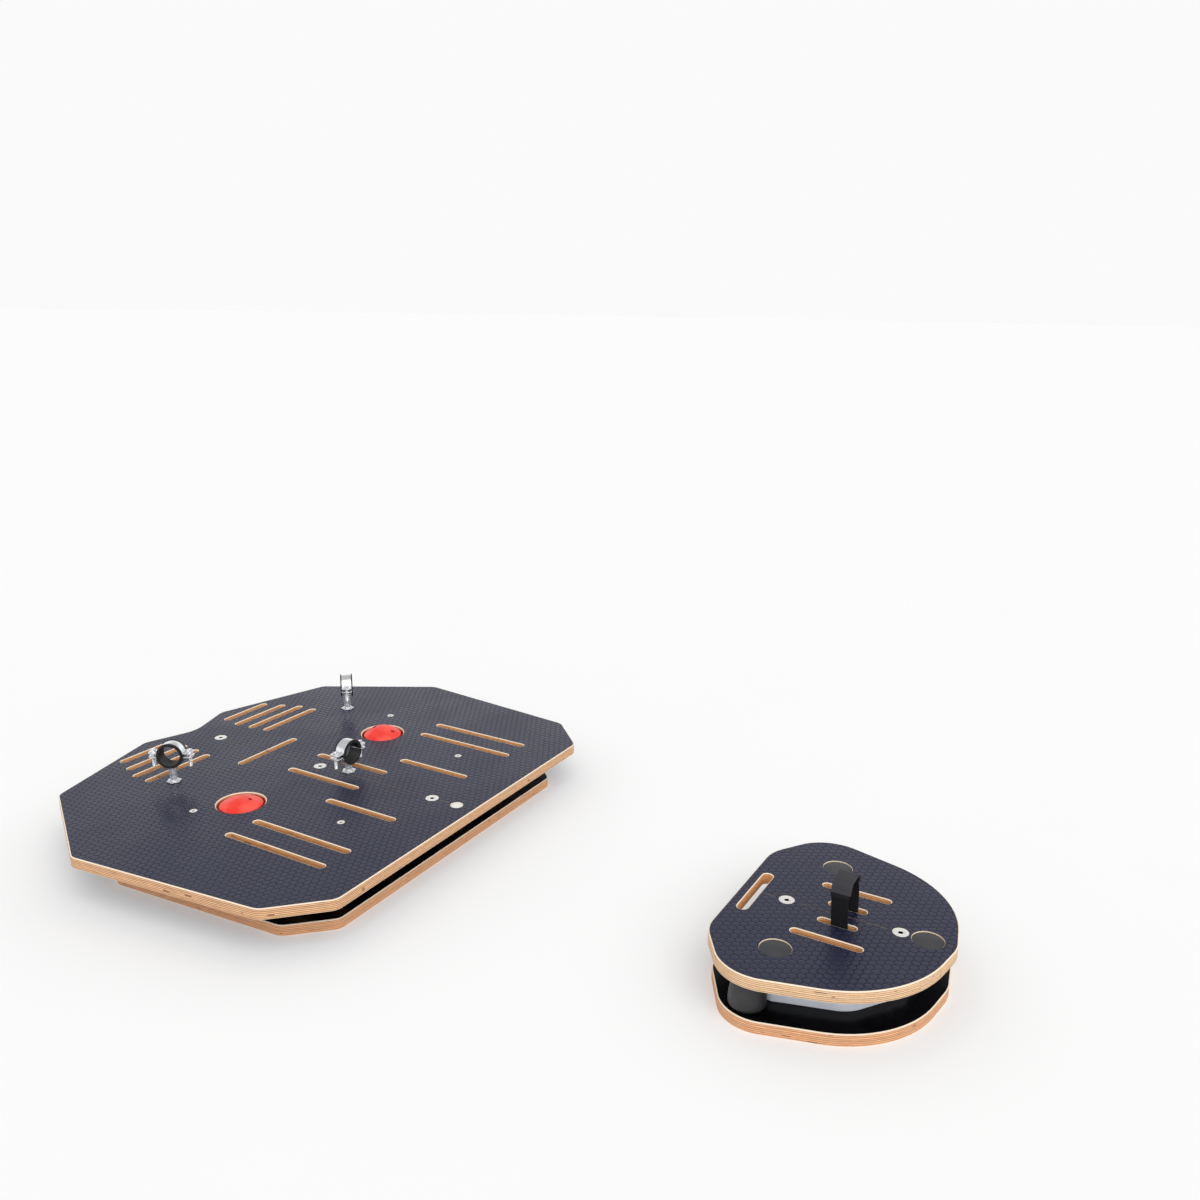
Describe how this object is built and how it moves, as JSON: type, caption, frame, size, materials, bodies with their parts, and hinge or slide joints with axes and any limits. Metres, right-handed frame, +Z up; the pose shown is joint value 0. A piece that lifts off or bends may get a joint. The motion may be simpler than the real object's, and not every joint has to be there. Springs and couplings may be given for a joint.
{
  "type": "trainer rocker plate",
  "caption": "Two-unit rocker plate for a bicycle trainer: plywood boards that tilt on a central axle, with air balls, tube clamps and a wheel strap.",
  "frame": {"origin": "on the floor, under the middle pivot bolt of the rear unit, on the underside of its base board", "axes": "+X forward, from the rear unit to the front unit; +Y to the rider's left; +Z up"},
  "size_m": [1.4926, 0.8904, 0.1555],
  "materials": {
    "film_faced_plywood": "black film with a fine hexagon grip on top, tan layered edges",
    "steel": "satin",
    "zinc_plated_steel": "bright zinc",
    "black_nylon": "matte",
    "rubber": "matte",
    "red_rubber": "satin, thin wall",
    "white_plastic": "gloss",
    "clear_plastic": "clear",
    "pale_plastic": "matte",
    "dark_plastic": "satin",
    "webbing": "woven webbing with hook and loop"
  },
  "bodies": {
    "base": {"rear_base_board": "film_faced_plywood", "rear_axle_saddle_back": "black_nylon", "rear_axle_saddle_front": "black_nylon", "rear_axle_rod": "steel", "near_ball": "red_rubber", "far_ball": "red_rubber", "front_base_board": "film_faced_plywood", "front_slab": "pale_plastic", "front_axle_saddle": "black_nylon", "front_axle_rod": "steel", "bumper_near": "rubber", "bumper_far": "rubber"},
    "rear_top": {"rear_top_board": "film_faced_plywood", "rear_pivot_block_back": "black_nylon", "rear_pivot_block_middle": "black_nylon", "rear_pivot_block_front": "black_nylon", "rear_pivot_bolt_back": "steel", "rear_pivot_bolt_middle": "steel", "rear_pivot_bolt_front": "steel", "stop_buffer_back_near": "rubber", "buffer_screw_back_near": "steel", "stop_buffer_back_far": "rubber", "buffer_screw_back_far": "steel", "stop_buffer_front_near": "rubber", "buffer_screw_front_near": "steel", "stop_buffer_front_far": "rubber", "buffer_screw_front_far": "steel", "level_cup": "white_plastic", "level_lens": "clear_plastic", "clamp_1_stud": "zinc_plated_steel", "clamp_1_flange_nut": "zinc_plated_steel", "clamp_2_stud": "zinc_plated_steel", "clamp_2_flange_nut": "zinc_plated_steel", "clamp_3_stud": "zinc_plated_steel", "clamp_3_flange_nut": "zinc_plated_steel"},
    "front_top": {"front_top_board": "film_faced_plywood", "front_pivot_block_back": "black_nylon", "front_pivot_block_front": "black_nylon", "front_pivot_bolt_back": "steel", "front_pivot_bolt_front": "steel", "inlay_pad_near": "dark_plastic", "inlay_pad_far": "dark_plastic", "inlay_pad_front": "dark_plastic", "wheel_strap": "webbing"},
    "clamp_1": {"clamp_1_lower_half": "zinc_plated_steel", "clamp_1_upper_half": "zinc_plated_steel", "clamp_1_lining": "rubber", "clamp_1_screw_a": "zinc_plated_steel", "clamp_1_screw_b": "zinc_plated_steel"},
    "clamp_2": {"clamp_2_lower_half": "zinc_plated_steel", "clamp_2_upper_half": "zinc_plated_steel", "clamp_2_lining": "rubber", "clamp_2_screw_a": "zinc_plated_steel", "clamp_2_screw_b": "zinc_plated_steel"},
    "clamp_3": {"clamp_3_lower_half": "zinc_plated_steel", "clamp_3_upper_half": "zinc_plated_steel", "clamp_3_lining": "rubber", "clamp_3_screw_a": "zinc_plated_steel", "clamp_3_screw_b": "zinc_plated_steel"}
  },
  "joints": [
    {"name": "rear_tilt", "type": "hinge", "parent": "base", "child": "rear_top", "pos_m": [0, 0, 0.0405], "axis": [1, 0, 0], "range_deg": [-5, 5], "stiffness_Nm_per_rad": 280, "deforming": ["near_ball", "far_ball"]},
    {"name": "front_tilt", "type": "hinge", "parent": "base", "child": "front_top", "pos_m": [0.966, 0, 0.0405], "axis": [1, 0, 0], "range_deg": [-5, 5], "stiffness_Nm_per_rad": 60, "deforming": ["bumper_near", "bumper_far"]},
    {"name": "clamp_1_swivel", "type": "hinge", "parent": "rear_top", "child": "clamp_1", "pos_m": [-0.17, -0.182, 0.081], "axis": [0, 0, 1], "range_deg": [-90, 90]},
    {"name": "clamp_2_swivel", "type": "hinge", "parent": "rear_top", "child": "clamp_2", "pos_m": [0.061, 0.009, 0.081], "axis": [0, 0, 1], "range_deg": [-90, 90]},
    {"name": "clamp_3_swivel", "type": "hinge", "parent": "rear_top", "child": "clamp_3", "pos_m": [-0.154, 0.244, 0.081], "axis": [0, 0, 1], "range_deg": [-90, 90]}
  ]
}
